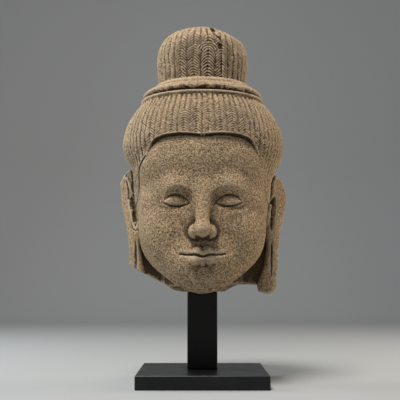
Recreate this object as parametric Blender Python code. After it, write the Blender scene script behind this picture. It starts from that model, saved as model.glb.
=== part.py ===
"""A carved sandstone deity head on a black steel stand, in metres, +Z up, facing -Y.

Three pieces: the head, carved from one block, the post that its neck rests on, and the base plate.
The origin is the centre of the base plate's underside.

The head is laid out in its own frame, whose origin lies over the post's axis, inside the neck. Its unit
comes from the head's height, and is a millimetre at the real size.
"""

import math

import bmesh
import bpy
import numpy as np
from mathutils import Matrix, Vector

# Driving dimensions of the stand
BASE_WIDTH = 0.150
BASE_DEPTH = 0.150
BASE_THICKNESS = 0.016
BASE_EDGE_CHAMFER = 0.0008
POST_WIDTH = 0.036
POST_DEPTH = 0.036
POST_HEIGHT = 0.0912
POST_EDGE_CHAMFER = 0.0008
POST_SETBACK = 0.016  # the post's axis lies this far behind the base's centre
REST_GAP = 0.0003  # between a piece and what it rests on

# Driving dimension of the head: from its lowest ear lobe to the top of its topknot
HEAD_HEIGHT = 0.3235

# Places of the head, in its own units
EYE_OF_RAYS = np.array((0.0, -14.0, 90.0))  # the face is pushed out along rays from here
HAIR_AXIS_Y = -16.0  # cap, band and topknot share this upright axis
CAP_BELLY = 165.0  # the height at which the cap is widest
CAP_LEFT, CAP_RIGHT, CAP_FRONT, CAP_BEHIND = 97.0, 98.5, 91.5, 109.0  # its radii there
CAP_RISE = 75.5
CAP_FRONT_FULLNESS = 0.3  # how much fuller than an ellipse its front is above the belly
CAP_UNDER = 66.0  # its radius downwards from the belly
CAP_UNDER_LEAN = 9.0  # how much more that is on the right, and less on the left
CAP_ROWS = 6
CAP_TOP = CAP_BELLY + 46.0  # where its columns end under the rim
# The rim over the cap's columns: radii and heights over the cap's top
CAP_RIM = ((62.0, 8.0), (75.5, 8.4), (75.3, 5.6))
CAP_LAYER = 2.6  # the least that the hair stands proud of the skull
CAP_LAYER_TEMPLE = 1.2  # the same at its edge before the ears
TEMPLE_SLOPE = 18.0  # the height in which it thins out to that edge
CAP_COLUMNS = 80
CAP_GROOVE = 1.4
CAP_BORDER = 4.0  # the grooves run out this high over the hair's lower edge
KNOT_RADIUS = 56.0
KNOT_FOOT = CAP_TOP
KNOT_BELLY = KNOT_FOOT + 54.0  # the height at which it is widest
KNOT_TOP = KNOT_FOOT + 99.5
KNOT_FULLNESS = 2.8  # the dome's superellipse power
KNOT_WAIST = 5.0  # how much it narrows towards its foot
KNOT_COLUMNS = 40
KNOT_ROWS = 7
KNOT_GROOVE = 1.3
# The band round the foot of the topknot, a fillet over a roll with an undercut: radii and heights over the
# cap's top
BAND = (
    (48.0, 29.6),
    (57.0, 28.6),
    (59.5, 24.9),
    (64.0, 22.9),
    (69.5, 19.6),
    (72.8, 16.0),
    (72.6, 13.6),
    (66.0, 12.4),
    (66.0, 3.0),
)
BAND_SIDES = 48
# The plane that the topknot's right shoulder is worn down to
WORN_PLANE_POINT = (24.0, HAIR_AXIS_Y, KNOT_TOP - 5.0)
WORN_PLANE_NORMAL = (0.40, -0.12, 0.91)
NECK_RADIUS = 55.0
NECK_INNER_RADIUS = 44.0  # from here its broken underside slopes down to the seat
NECK_FOOT = -10.5  # the height of the flat seat that rests on the post
NECK_RISE = 4.0  # how much higher the break lies on the right
SEAT_MARGIN = 2.5  # how far the flat under the neck reaches past the post's corners
WEB_HALF_WIDTH = 87.0  # the stone left standing between the neck and the ear lobes
WEB_HALF_DEPTH = 21.0
WEB_CENTRE_Y = 12.0
NECK_TOP = 108.0
NECK_SIDES = 32

# The ears, at these heights: where they meet the head and where their rims lie in x, how far they turn back
# in degrees, half their thickness, and where their inner edge lies in y
EAR_HEIGHTS = (-13.0, -11.5, -6.0, 30.0, 52.0, 76.0, 100.0, 116.0, 130.0, 138.0)
EAR_INNER = (74.5, 70.0, 67.0, 77.5, 77.5, 74.0, 74.0, 77.0, 82.0, 88.0)
EAR_OUTER = (82.5, 87.0, 89.3, 92.3, 93.5, 98.5, 105.5, 107.0, 105.5, 95.0)
EAR_TURN = (20, 20, 20, 24, 32, 42, 50, 52, 52, 52)
EAR_THICK = (4.0, 6.5, 8.5, 10.0, 10.5, 11.0, 10.5, 9.5, 7.0, 3.0)
EAR_FRONT = (-19.0, -20.0, -21.0, -22.0, -24.0, -26.0, -26.0, -24.0, -21.0, -16.0)
LEFT_EAR_SPREAD = 0.96  # the left ear stands out a little less
EAR_CORNERS = 14
EAR_ROWS = 14
EAR_FULLNESS = 0.8

# Cuts into the ears: top and foot, each a height and a share along the ear, then the radii
RIGHT_EAR_HOLLOW = ((106.0, -0.28), (62.0, -0.38), (3.8, 10.0))
LEFT_EAR_HOLLOW = ((109.0, -0.22), (67.0, -0.30), (3.8, 10.0))
LOBE_SLIT = ((54.0, -0.4), (5.0, 0.2), (1.5, 5.0))

# Breaks: the left lobe and the right ear's top are broken off along two and three planes. A break has an edge
# and the way that its plane runs from there, in degrees from -X towards +Z, then the size of what is taken away
BREAKS = (
    ("Break under the neck", (-29.0, 0.0, -10.5), 27.7, (120.0, 160.0, 60.0)),
    ("Break of the lobe", (-79.5, 0.0, 16.2), 38, (120.0, 160.0, 60.0)),
    ("Chip off the ear's top", (91.5, 12.0, 129.8), 188, (30.0, 50.0, 9.0)),
    ("Chip off the ear's corner", (94.4, 12.0, 129.3), 221, (30.0, 50.0, 20.0)),
    ("Chip off the ear's rim", (100.2, 12.0, 124.3), 248, (30.0, 50.0, 20.0)),
)

# Chips in the topknot, a gash and a hole: two ends and radii. An end is its turn from the front in degrees,
# its drop below the top and how far outside the surface it lies
KNOT_CHIPS = (
    ("Gash", (13.8, 3.0, 3.0), (14.0, 18.0, 3.0), (2.4, 5.0)),
    ("Hole", (19.9, 33.5, 0.0), (24.1, 33.5, 0.0), (2.2, 5.0)),
)

# The face follows a plain canon: three equal thirds from the hairline to the chin, five eye widths across
HAIRLINE = 164.5
CHIN = -9.0
THIRD = (HAIRLINE - CHIN) / 3
BROW = HAIRLINE - THIRD
NOSE_FOOT = BROW - THIRD
EYE_WIDTH = 30.0
EYE_LINE = BROW - 0.29 * THIRD
MOUTH_LINE = NOSE_FOOT - THIRD / 3
FACE_SUBDIVISIONS = 7
FACE_KEPT = 0.045  # the share of the sphere's faces that stay

# The head's own unit in metres, and the radius of its seat in that unit
UNIT = HEAD_HEIGHT / (KNOT_TOP - EAR_HEIGHTS[0])
SEAT_RADIUS = math.hypot(POST_WIDTH, POST_DEPTH) / 2 / UNIT + SEAT_MARGIN

STONE_COLOUR = (0.42, 0.33, 0.235, 1.0)
STEEL_COLOUR = (0.012, 0.012, 0.014, 1.0)


# Distances: how far each point lies outside a form, negative inside it
def ellipsoid(points, centre, radii):
    local = points - np.array(centre)
    radii = np.array(radii)
    near = np.linalg.norm(local / radii, axis=1)
    slope = np.linalg.norm(local / radii**2, axis=1)
    return near * (near - 1) / np.maximum(slope, 1e-9)


def limb(points, start, end, start_radius, end_radius):
    """A round bar that tapers from one end to the other."""
    start, end = np.array(start), np.array(end)
    along = end - start
    share = np.clip((points - start) @ along / (along @ along), 0, 1)
    off_axis = np.linalg.norm(points - start - share[:, None] * along, axis=1)
    return off_axis - (start_radius + share * (end_radius - start_radius))


def merged(first, second, blend):
    """The union of two forms, with a fillet about as wide as blend between them."""
    share = np.clip(0.5 + 0.5 * (second - first) / blend, 0, 1)
    return second * (1 - share) + first * share - blend * share * (1 - share)


def hollowed(form, cutter, blend):
    """The form with the cutter taken out of it, and a rounded lip."""
    return -merged(-form, cutter, blend)


def smooth_step(low, high, value):
    share = np.clip((value - low) / (high - low), 0, 1)
    return share * share * (3 - 2 * share)


def through(places, values, at):
    """A smooth curve through a few points, flat at both ends."""
    places, values = np.array(places, float), np.array(values, float)
    slopes = np.gradient(values, places)
    slopes[0] = slopes[-1] = 0
    index = np.clip(np.searchsorted(places, at) - 1, 0, len(places) - 2)
    width = places[index + 1] - places[index]
    t = np.clip((at - places[index]) / width, 0, 1)
    return (
        values[index] * (1 + 2 * t) * (1 - t) ** 2
        + slopes[index] * width * t * (1 - t) ** 2
        + values[index + 1] * t * t * (3 - 2 * t)
        + slopes[index + 1] * width * t * t * (t - 1)
    )


# The skull and the face
def skull_distance(points):
    """The bald head, without its features."""
    one_side = np.column_stack([np.abs(points[:, 0]), points[:, 1:]])
    form = ellipsoid(points, (0, -9, 147), (84.5, 98, 87))
    form = merged(form, ellipsoid(one_side, (32, -44, 142), (40, 46, 38)), 20)
    form = merged(form, ellipsoid(points, (0, 17, 108), (76, 70, 82)), 22)
    form = merged(form, ellipsoid(points, (0, -17, 94), (77, 75, 72)), 18)
    form = merged(form, ellipsoid(points, (0, -33, 68), (68, 66, 64)), 20)
    jaw_angle, chin = (37, -20, 46), (0, -75, CHIN + 23)
    form = merged(form, limb(one_side, jaw_angle, chin, 30, 21), 26)
    form = merged(form, ellipsoid(points, (0, -70, CHIN + 28), (40, 31, 25)), 22)
    return merged(form, ellipsoid(one_side, (39, -57, 54), (26, 31, 33)), 24)


def with_brow_and_eyes(form, one_side):
    """A level brow over shallow sockets, with rounded lids lying closed in them."""
    form = merged(form, limb(one_side, (0, -90, BROW - 4), (27, -88, BROW + 1), 8, 8), 20)
    form = merged(form, limb(one_side, (27, -88, BROW + 1), (58, -62, BROW - 7), 8, 4), 20)
    socket = ellipsoid(one_side, (EYE_WIDTH + 1, -111, EYE_LINE + 1), (25, 17, 15))
    form = hollowed(form, socket, 6)
    upper_lid = ellipsoid(one_side, (EYE_WIDTH, -80, EYE_LINE + 1), (18.5, 17, 12))
    lower_lid = ellipsoid(one_side, (EYE_WIDTH, -79, EYE_LINE - 11), (19, 13, 8))
    return merged(merged(form, lower_lid, 6), upper_lid, 2)


def with_nose(form, points, one_side):
    form = merged(form, limb(points, (0, -96, BROW), (0, -112, NOSE_FOOT + 14), 5.5, 7.5), 12)
    form = merged(form, ellipsoid(points, (0, -113, NOSE_FOOT + 9), (8.5, 12, 8.5)), 6)
    form = merged(form, ellipsoid(one_side, (9.5, -104, NOSE_FOOT + 7.5), (6.5, 11, 7.5)), 4)
    crease = limb(one_side, (18.5, -106, NOSE_FOOT + 3), (17, -108, NOSE_FOOT + 13), 1, 1)
    form = hollowed(form, crease, 5)
    nostril = ellipsoid(one_side, (5.8, -110, NOSE_FOOT - 0.5), (3.2, 5.5, 3))
    return hollowed(form, nostril, 2.5)


def with_mouth(form, points, one_side):
    """A closed mouth: a rounded muzzle, the two lips, the dip over them and the one below."""
    form = merged(form, ellipsoid(points, (0, -78, MOUTH_LINE + 3), (34, 25, 24)), 14)
    corner = (25, -93, MOUTH_LINE + 1.2)
    peak = (5, -104.5, MOUTH_LINE + 4)
    form = merged(form, limb(one_side, corner, peak, 2.8, 5.2), 2.5)
    form = merged(form, limb(one_side, peak, (0, -104.5, MOUTH_LINE + 3.2), 5.2, 4.8), 3)
    full = (7, -103, MOUTH_LINE - 6)
    form = merged(form, limb(one_side, (24, -93, MOUTH_LINE - 1), full, 2.8, 6.6), 2.5)
    form = merged(form, limb(one_side, full, (0, -103, MOUTH_LINE - 5.8), 6.6, 6.4), 3)
    philtrum = limb(points, (0, -112, NOSE_FOOT - 2), (0, -114, MOUTH_LINE + 9), 2.4, 3.2)
    form = hollowed(form, philtrum, 4)
    dip = limb(points, (-6, -110, MOUTH_LINE - 17), (6, -110, MOUTH_LINE - 17), 5, 5)
    return hollowed(form, dip, 13)


def face_distance(points):
    one_side = np.column_stack([np.abs(points[:, 0]), points[:, 1:]])
    form = skull_distance(points)
    form = with_brow_and_eyes(form, one_side)
    form = with_mouth(form, points, one_side)
    return with_nose(form, points, one_side)


def reach_along(directions, distance, start, farthest):
    """How far each ray from start goes before it leaves the form, found by walking in from outside."""
    reach = np.full(len(directions), float(farthest))
    for _ in range(40):
        reach -= 0.85 * distance(start + reach[:, None] * directions)
    return reach


# Turning forms into objects
def placed(points):
    """From the head's own frame and units to metres in the object's frame."""
    seat = BASE_THICKNESS + POST_HEIGHT + 2 * REST_GAP
    origin = np.array((0.0, POST_SETBACK, seat - NECK_FOOT * UNIT))
    return np.asarray(points, float) * UNIT + origin


def new_object(name, bm, colour_material):
    mesh = bpy.data.meshes.new(name)
    bm.normal_update()
    bmesh.ops.recalc_face_normals(bm, faces=bm.faces)
    bm.to_mesh(mesh)
    bm.free()
    mesh.shade_smooth()
    mesh.set_sharp_from_angle(angle=math.radians(35))
    mesh.materials.append(colour_material)
    obj = bpy.data.objects.new(name, mesh)
    bpy.context.scene.collection.objects.link(obj)
    return obj


def material(name, colour, roughness, metallic):
    made = bpy.data.materials.new(name)
    made.use_nodes = True
    shader = made.node_tree.nodes["Principled BSDF"]
    shader.inputs["Base Color"].default_value = colour
    shader.inputs["Roughness"].default_value = roughness
    shader.inputs["Metallic"].default_value = metallic
    return made


def helper(obj, collection):
    """A form that only shapes the head, and isn't a piece of its own."""
    bpy.context.scene.collection.objects.unlink(obj)
    collection.objects.link(obj)
    obj.hide_render = True
    obj.display_type = "WIRE"


def loft(rows):
    """A closed body through rings of points, each given in the head's own frame."""
    bm = bmesh.new()
    rings = []
    for row in rows:
        rings.append([bm.verts.new(place) for place in placed(row)])
    for upper, lower in zip(rings, rings[1:]):
        for i in range(len(upper)):
            after = (i + 1) % len(upper)
            bm.faces.new((upper[i], upper[after], lower[after], lower[i]))
    bm.faces.new(rings[0][::-1])
    bm.faces.new(rings[-1])
    return bm


def around(count):
    """Angles from the front round to the front again, seen from above."""
    return np.arange(count) * 2 * math.pi / count


def ring_points(radii, angles, height, centre_y):
    x, y = radii * np.sin(angles), centre_y - radii * np.cos(angles)
    return np.column_stack([x, y, np.broadcast_to(height, angles.shape)])


def head_block():
    """Skull and face: a sphere whose points are pushed out along their rays, closer together in front."""
    bm = bmesh.new()
    bmesh.ops.create_icosphere(bm, subdivisions=FACE_SUBDIVISIONS, radius=1.0)
    directions = np.array([v.co for v in bm.verts]) + np.array((0.0, -0.55, -0.12))
    directions /= np.linalg.norm(directions, axis=1)[:, None]
    reach = reach_along(directions, face_distance, EYE_OF_RAYS, 140)
    for vertex, place in zip(bm.verts, placed(EYE_OF_RAYS + reach[:, None] * directions)):
        vertex.co = place
    return bm


def angles_from_front(angles):
    """The same angles as turns from the front, up to half a turn each way."""
    return (angles + math.pi) % (2 * math.pi) - math.pi


def hairline(angles):
    """The height of the hair's lower edge round the head: level over the brow, down before the ear, low behind."""
    degrees = np.degrees(np.abs(angles_from_front(angles)))
    turns = (0, 12, 22, 30, 36, 39.5, 43, 49, 59, 65, 72, 100, 125, 180)
    heights = (164.5, 166.3, 166.4, 165.0, 161.5, 157.0, 150.0, 141.5, 129.0, 114.0, 103.0, 92.0, 66.0, 58.0)
    return through(turns, heights, degrees)


def cap_radius(angles, heights):
    """The hair's distance from its axis: its own dome, and never less than a layer on the skull."""
    under = CAP_UNDER + CAP_UNDER_LEAN * np.sin(angles)
    upright = np.where(heights > CAP_BELLY, CAP_RISE, under)
    flat = np.sqrt(np.clip(1 - ((heights - CAP_BELLY) / upright) ** 2, 0, 1))
    fuller = CAP_FRONT_FULLNESS * np.maximum(np.cos(angles), 0) * (heights > CAP_BELLY)
    flat = flat ** (1 - fuller)
    across = np.where(np.sin(angles) > 0, CAP_RIGHT, CAP_LEFT)
    lengthwise = np.where(np.cos(angles) > 0, CAP_FRONT, CAP_BEHIND)
    oval = 1 / np.hypot(np.sin(angles) / across, np.cos(angles) / lengthwise)
    level = np.column_stack([np.sin(angles), -np.cos(angles), np.zeros(len(angles))])
    start = ring_points(0.0, angles, heights, HAIR_AXIS_Y)
    reach = reach_along(level, skull_distance, start, 130)
    turn = np.abs(angles_from_front(angles))
    temple = smooth_step(0.64, 0.80, turn) * (1 - smooth_step(1.5, 1.9, turn))
    layer = reach + CAP_LAYER + (CAP_LAYER_TEMPLE - CAP_LAYER) * temple
    full = -merged(-flat * oval, -layer, 6)
    edge = 1 - smooth_step(0, TEMPLE_SLOPE, heights - hairline(angles))
    return full + temple * edge * (layer - full)


def hair_cap():
    """The cap of hair: a fluted dome under a rim, whose lower edge follows the hairline."""
    angles = around(2 * CAP_COLUMNS)
    flute = np.tile((0.0, -CAP_GROOVE), CAP_COLUMNS)
    edge = hairline(angles)
    rows = []
    for radius, rise in CAP_RIM:
        rows.append(ring_points(radius, angles, CAP_TOP + rise, HAIR_AXIS_Y))
    for share in np.linspace(0, 1, CAP_ROWS):
        heights = CAP_TOP + share * (edge - CAP_TOP)
        radii = cap_radius(angles, heights) + flute * smooth_step(0, CAP_BORDER, heights - edge)
        rows.append(ring_points(radii, angles, heights, HAIR_AXIS_Y))
    tucked = cap_radius(angles, edge) - 12
    rows.append(ring_points(tucked, angles, edge + 1, HAIR_AXIS_Y))
    rows.append(ring_points(20.0, angles, 120.0, HAIR_AXIS_Y))
    return loft(rows)


def knot_radius(height):
    above = np.clip((height - KNOT_BELLY) / (KNOT_TOP - KNOT_BELLY), 0, 1)
    below = np.clip((KNOT_BELLY - height) / (KNOT_BELLY - KNOT_FOOT), 0, 1)
    dome = (1 - above**KNOT_FULLNESS) ** (1 / KNOT_FULLNESS)
    return KNOT_RADIUS * dome - KNOT_WAIST * below


def worn_shoulder(points):
    """The topknot's right shoulder is broken away: what lies past a slanting plane is drawn back to it."""
    normal = np.array(Vector(WORN_PLANE_NORMAL).normalized())
    past = (points - np.array(WORN_PLANE_POINT)) @ normal
    return points - np.maximum(past, 0)[:, None] * normal


def topknot():
    """The topknot: a fluted dome whose columns run out towards its crown."""
    angles = around(2 * KNOT_COLUMNS)
    rows = []
    for share in np.linspace(0, 1, KNOT_ROWS + 1)[:-1]:
        height = KNOT_FOOT + (KNOT_TOP - KNOT_FOOT) * math.sin(share * math.pi / 2) ** 0.9
        fade = 1 - smooth_step(KNOT_TOP - 14, KNOT_TOP - 3, height)
        flute = np.tile((0.0, -KNOT_GROOVE * float(fade)), KNOT_COLUMNS)
        ring = ring_points(knot_radius(height) + flute, angles, height, HAIR_AXIS_Y)
        rows.append(worn_shoulder(ring))
    crown = ring_points(12.0, angles, KNOT_TOP, HAIR_AXIS_Y)
    rows.append(worn_shoulder(crown))
    return loft(rows[::-1])


def band():
    rows = []
    for radius, rise in BAND:
        rows.append(ring_points(radius, around(BAND_SIDES), CAP_TOP + rise, HAIR_AXIS_Y))
    return loft(rows)


def neck():
    """The stump of the neck, with the web of stone that ties the ear lobes to it, broken off unevenly."""
    angles = around(NECK_SIDES)
    across, along = np.abs(np.sin(angles)) / WEB_HALF_WIDTH, np.abs(np.cos(angles)) / WEB_HALF_DEPTH
    web = (across**5 + along**5) ** (-1 / 5)
    outline = np.maximum(web, NECK_RADIUS)
    rough = NECK_FOOT + 6.5 + 1.6 * np.sin(3 * angles + 1) + 1.2 * np.sin(7 * angles)
    rough += NECK_RISE * np.maximum(np.sin(angles), 0)
    rows = []
    for height in (NECK_TOP, 60.0, 30.0, rough):
        rows.append(ring_points(outline, angles, height, WEB_CENTRE_Y))
    rows.append(ring_points(NECK_INNER_RADIUS, angles, rough, WEB_CENTRE_Y * 0.7))
    rows.append(ring_points(SEAT_RADIUS, angles, NECK_FOOT, 0.0))
    return loft(rows)


def ear_section(height):
    """The ear's section at a height: its middle, its half width and thickness, and how far it turns back."""
    inner, outer, degrees, thick, front = (
        float(through(EAR_HEIGHTS, row, height))
        for row in (EAR_INNER, EAR_OUTER, EAR_TURN, EAR_THICK, EAR_FRONT)
    )
    turn = math.radians(degrees)
    half = (outer - inner) / 2 / math.cos(turn)
    centre = np.array(((inner + outer) / 2, front + half * math.sin(turn) + thick, height))
    return centre, half, thick, turn


def ear_places(side, height, along, out):
    """Places on an ear: along runs from -1 at the head to 1 at the rim, out from -1 in front to 1 behind."""
    centre, half, thick, turn = ear_section(height)
    along, out = np.asarray(along) * half, np.asarray(out) * thick
    x = centre[0] + along * math.cos(turn) - 0.4 * out * math.sin(turn)
    y = centre[1] + along * math.sin(turn) + out * math.cos(turn)
    spread = side if side > 0 else side * LEFT_EAR_SPREAD
    return np.column_stack(np.broadcast_arrays(spread * x, y, height))


def ear(side):
    """An ear with its long lobe, lofted upwards: side is 1 for the one at +X and -1 for the other."""
    angles = around(EAR_CORNERS)
    # A power under 1 makes the section fuller than an ellipse
    along = np.sign(np.cos(angles)) * np.abs(np.cos(angles)) ** EAR_FULLNESS
    out = np.sign(np.sin(angles)) * np.abs(np.sin(angles)) ** EAR_FULLNESS
    rows = []
    places = np.linspace(0, len(EAR_HEIGHTS) - 1, EAR_ROWS)
    for height in np.interp(places, np.arange(len(EAR_HEIGHTS)), EAR_HEIGHTS):
        rows.append(ear_places(side, height, along, out))
    return loft(rows)


def pod(start, end, radii, facing):
    """A long oval cutter from one end to the other: radii across it and in depth, facing its depth's way."""
    start, end = placed(start), placed(end)
    along = Vector(end - start)
    deep = Vector(facing)
    deep = (deep - along * deep.dot(along) / along.length_squared).normalized()
    wide = along.cross(deep).normalized()
    sizes = (radii[0] * UNIT, radii[1] * UNIT, along.length / 2)
    axes = Matrix((wide * sizes[0], deep * sizes[1], along.normalized() * sizes[2])).transposed()
    bm = bmesh.new()
    matrix = Matrix.Translation(Vector((start + end) / 2)) @ axes.to_4x4()
    bmesh.ops.create_uvsphere(bm, u_segments=8, v_segments=7, radius=1.0, matrix=matrix)
    return bm


def ear_cut(side, top, foot, radii):
    """A cut into the front of an ear between two places on it, each a height and a share along."""
    ends = []
    for height, along in (top, foot):
        ends.append(ear_places(side, height, [along], [-1.0])[0])
    turn = ear_section((top[0] + foot[0]) / 2)[3]
    return pod(*ends, radii, (-side * math.sin(turn), math.cos(turn), 0))


def knot_chip(first, last, radii):
    """A cut into the topknot between two places near its surface."""
    ends = []
    for degrees, drop, outside in (first, last):
        angle, height = np.array([math.radians(degrees)]), KNOT_TOP - drop
        ends.append(ring_points(knot_radius(height) + outside, angle, height, HAIR_AXIS_Y)[0])
    return pod(*ends, radii, (0, 1, 0))


def break_block(edge, degrees, size):
    """What a break took away: a block with one side on its plane."""
    length, width, height = np.array(size) * UNIT
    bm = bmesh.new()
    bmesh.ops.create_cube(bm, size=1.0, matrix=Matrix.Diagonal((length, width, height, 1)))
    shift = Matrix.Translation((-length / 2, 0, -height / 2))
    turn = Matrix.Rotation(math.radians(degrees), 4, "Y")
    bm.transform(Matrix.Translation(Vector(placed(edge))) @ turn @ shift)
    return bm


def stone_head(stone):
    """The head: skull and face, with hair, topknot, bands, neck and ears joined on and the hollows cut out."""
    head = new_object("stone_head", head_block(), stone)
    thin = head.modifiers.new("Fewer faces", "DECIMATE")
    thin.ratio = FACE_KEPT
    joined = bpy.data.collections.new("Joined on")
    cut = bpy.data.collections.new("Cut out")
    for collection in (joined, cut):
        bpy.context.scene.collection.children.link(collection)
    forms = {
        "Hair cap": hair_cap(),
        "Topknot": topknot(),
        "Band": band(),
        "Neck": neck(),
        "Ear right": ear(1),
        "Ear left": ear(-1),
    }
    for name, bm in forms.items():
        helper(new_object(name, bm, stone), joined)
    cutters = {}
    for name, edge, degrees, size in BREAKS:
        cutters[name] = break_block(edge, degrees, size)
    for side, name, hollow in ((1, "right", RIGHT_EAR_HOLLOW), (-1, "left", LEFT_EAR_HOLLOW)):
        cutters["Ear hollow " + name] = ear_cut(side, *hollow)
        cutters["Lobe slit " + name] = ear_cut(side, *LOBE_SLIT)
    for name, first, last, radii in KNOT_CHIPS:
        cutters[name] = knot_chip(first, last, radii)
    for name, bm in cutters.items():
        helper(new_object(name, bm, stone), cut)
    for name, operation, collection in (("Join", "UNION", joined), ("Carve", "DIFFERENCE", cut)):
        boolean = head.modifiers.new(name, "BOOLEAN")
        boolean.operation = operation
        boolean.operand_type = "COLLECTION"
        boolean.collection = collection
    return head


# The stand
def chamfered_block(name, size, centre, chamfer, colour_material):
    bm = bmesh.new()
    bmesh.ops.create_cube(bm, size=1.0, matrix=Matrix.Diagonal((*size, 1)))
    bmesh.ops.bevel(bm, geom=bm.edges, offset=chamfer, segments=1, affect="EDGES")
    block = new_object(name, bm, colour_material)
    block.location = centre
    return block


def stand_base(steel):
    size = (BASE_WIDTH, BASE_DEPTH, BASE_THICKNESS)
    centre = (0, 0, BASE_THICKNESS / 2)
    return chamfered_block("stand_base", size, centre, BASE_EDGE_CHAMFER, steel)


def stand_post(steel):
    size = (POST_WIDTH, POST_DEPTH, POST_HEIGHT)
    centre = (0, POST_SETBACK, BASE_THICKNESS + REST_GAP + POST_HEIGHT / 2)
    return chamfered_block("stand_post", size, centre, POST_EDGE_CHAMFER, steel)


def main():
    for obj in list(bpy.data.objects):
        bpy.data.objects.remove(obj)
    stone = material("sandstone", STONE_COLOUR, 0.9, 0.0)
    steel = material("blackened steel", STEEL_COLOUR, 0.45, 0.0)
    stand_base(steel)
    stand_post(steel)
    stone_head(stone)


main()
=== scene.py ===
"""The looks of a carved sandstone deity head on a blackened steel stand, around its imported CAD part.

The head's solid is covered with a fine even mesh, drawn onto smooth forms and then carved: plaited hair in
columns of slanting strokes, its edges, the band, the ears, lids and lips, breaks and pits. One piece stands
for the stone. The stand's two pieces are the CAD's own, with steel materials.

The carving is laid out in the head's own frame, in millimetres: its origin lies over the post's axis,
inside the neck, and the face looks along -Y. Left and right are those of someone who faces the head, so
right is +X. Turns round the hair's axis are in radians from the front.
"""

import itertools
import math

import bmesh
import bpy
import numpy as np
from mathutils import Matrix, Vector


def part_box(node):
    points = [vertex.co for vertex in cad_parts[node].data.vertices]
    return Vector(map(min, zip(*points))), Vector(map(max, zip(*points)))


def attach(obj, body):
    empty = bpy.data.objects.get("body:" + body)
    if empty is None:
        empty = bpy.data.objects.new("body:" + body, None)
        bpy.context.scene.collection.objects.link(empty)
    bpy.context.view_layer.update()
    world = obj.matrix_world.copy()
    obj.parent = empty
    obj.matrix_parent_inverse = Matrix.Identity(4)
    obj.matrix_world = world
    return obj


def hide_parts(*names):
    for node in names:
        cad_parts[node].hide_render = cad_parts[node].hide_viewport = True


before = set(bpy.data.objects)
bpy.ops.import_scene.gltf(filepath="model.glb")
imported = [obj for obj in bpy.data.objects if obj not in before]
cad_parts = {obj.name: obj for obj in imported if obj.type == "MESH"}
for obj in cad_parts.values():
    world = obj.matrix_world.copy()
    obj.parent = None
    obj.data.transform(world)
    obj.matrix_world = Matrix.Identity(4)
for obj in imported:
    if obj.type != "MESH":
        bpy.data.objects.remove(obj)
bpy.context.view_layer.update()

# The head's frame: its unit and origin come from the solid's own height and from the post's axis
LOBE_FOOT = -13.0  # the height of the lowest point of the stone
KNOT_TOP = 310.5
LOW, HIGH = (np.array(corner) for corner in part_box("stone_head"))
UNIT = (HIGH[2] - LOW[2]) / (KNOT_TOP - LOBE_FOOT)
POST_Y = sum(corner[1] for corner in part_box("stand_post")) / 2
ORIGIN = np.array((0.0, POST_Y, LOW[2] - LOBE_FOOT * UNIT))

# Mesh
VOXEL = 0.85
MOST_TRIANGLES = 196_000
PITS = 300

# A point is drawn onto a form fully when it lies nearer than the first of these, not at all past the second
NEAR_HAIR = (2.4, 3.6)
NEAR_HAIR_OVER_EARS = (7.0, 9.0)
NEAR_FACE = (1.4, 2.4)

# Hair: cap, topknot and band share one upright axis
HAIR_AXIS_Y = -16.0
CAP_BELLY = 165.0
CAP_LEFT, CAP_RIGHT, CAP_FRONT, CAP_BEHIND = 97.0, 98.5, 91.5, 109.0
CAP_RISE = 75.5
CAP_FRONT_FULLNESS = 0.3
CAP_UNDER = 66.0
CAP_UNDER_LEAN = 9.0  # how much farther down the right side bulges, and how much less far the left
CAP_TOP = 211.0
RIM_FOOT = 216.6  # from the cap's top a short wall goes up to the rim's foot
RIM_RADIUS = 75.3
CAP_LAYER = 2.6
CAP_LAYER_TEMPLE = 1.2
TEMPLE_SLOPE = 18.0  # over this height the temple's thin layer swells into the cap
CAP_COLUMNS = 80
CAP_ARC = 84.0  # the radius by which lengths along the dome are reckoned
EARS_TOP = 140.0  # nothing stands out of the cap above this
KNOT_RADIUS = 56.0
KNOT_FOOT = 211.0
KNOT_BELLY = 265.0
KNOT_FULLNESS = 2.8
KNOT_WAIST = 5.0
KNOT_COLUMNS = 40
KNOT_WORN = (280.0, 298.0)  # between these heights its strokes fade out
KNOT_CROWN = (300.0, 308.0)  # and between these its columns
WORN_PLANE_POINT = np.array((24.0, HAIR_AXIS_Y, 305.5))
WORN_PLANE_NORMAL = np.array((0.40, -0.12, 0.91))
BAND_TOP = 240.3

# The strokes of the plaits: how far apart they lie and how steeply they slant
STROKE_PITCH = 3.4
STROKE_SLOPE = 0.38  # where it begins
STROKE_BEND = 0.45  # how much steeper it gets across its column
CHEVRON_X = 6.8  # where the middle chevron of the front stands
ARCH_HEIGHT = 271.0  # over this the middle strokes of the topknot close into arches
ARCH_REACH = 16.0

# The band's recess: between these heights, this far from the axis in front and at the sides
RECESS = (219.8, 224.0)
RECESS_RADII = (66.0, 71.5)
# The heights of the groove over the roll, of the rim's ridge with its painted highlight, and of the groove
# under the rim
FILLET_GROOVE = 234.9
RIM_EDGE = 218.6
RIM_GROOVE = 215.4

# Lines on the front, as places across and up: the gash and the hole in the topknot, the left ear's rim and
# the lip of its slot
GASH = ((9.5, 305.0), (13.2, 299.0), (14.4, 294.5), (17.0, 290.5), (21.0, 287.5))
HOLE = ((20.2, 279.5), (20.6, 276.5))
LEFT_EAR_RIM = (
    (-101.6, 112.0), (-101.8, 124.0), (-100.4, 129.0), (-97.6, 130.6), (-94.6, 128.6),
    (-92.0, 124.2), (-90.1, 118.0), (-88.4, 112.5), (-85.5, 109.0),
)
LEFT_SLOT_LIP = ((-84.0, 72.0), (-82.8, 67.5), (-80.8, 65.8), (-78.6, 68.0), (-77.8, 73.0))
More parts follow.
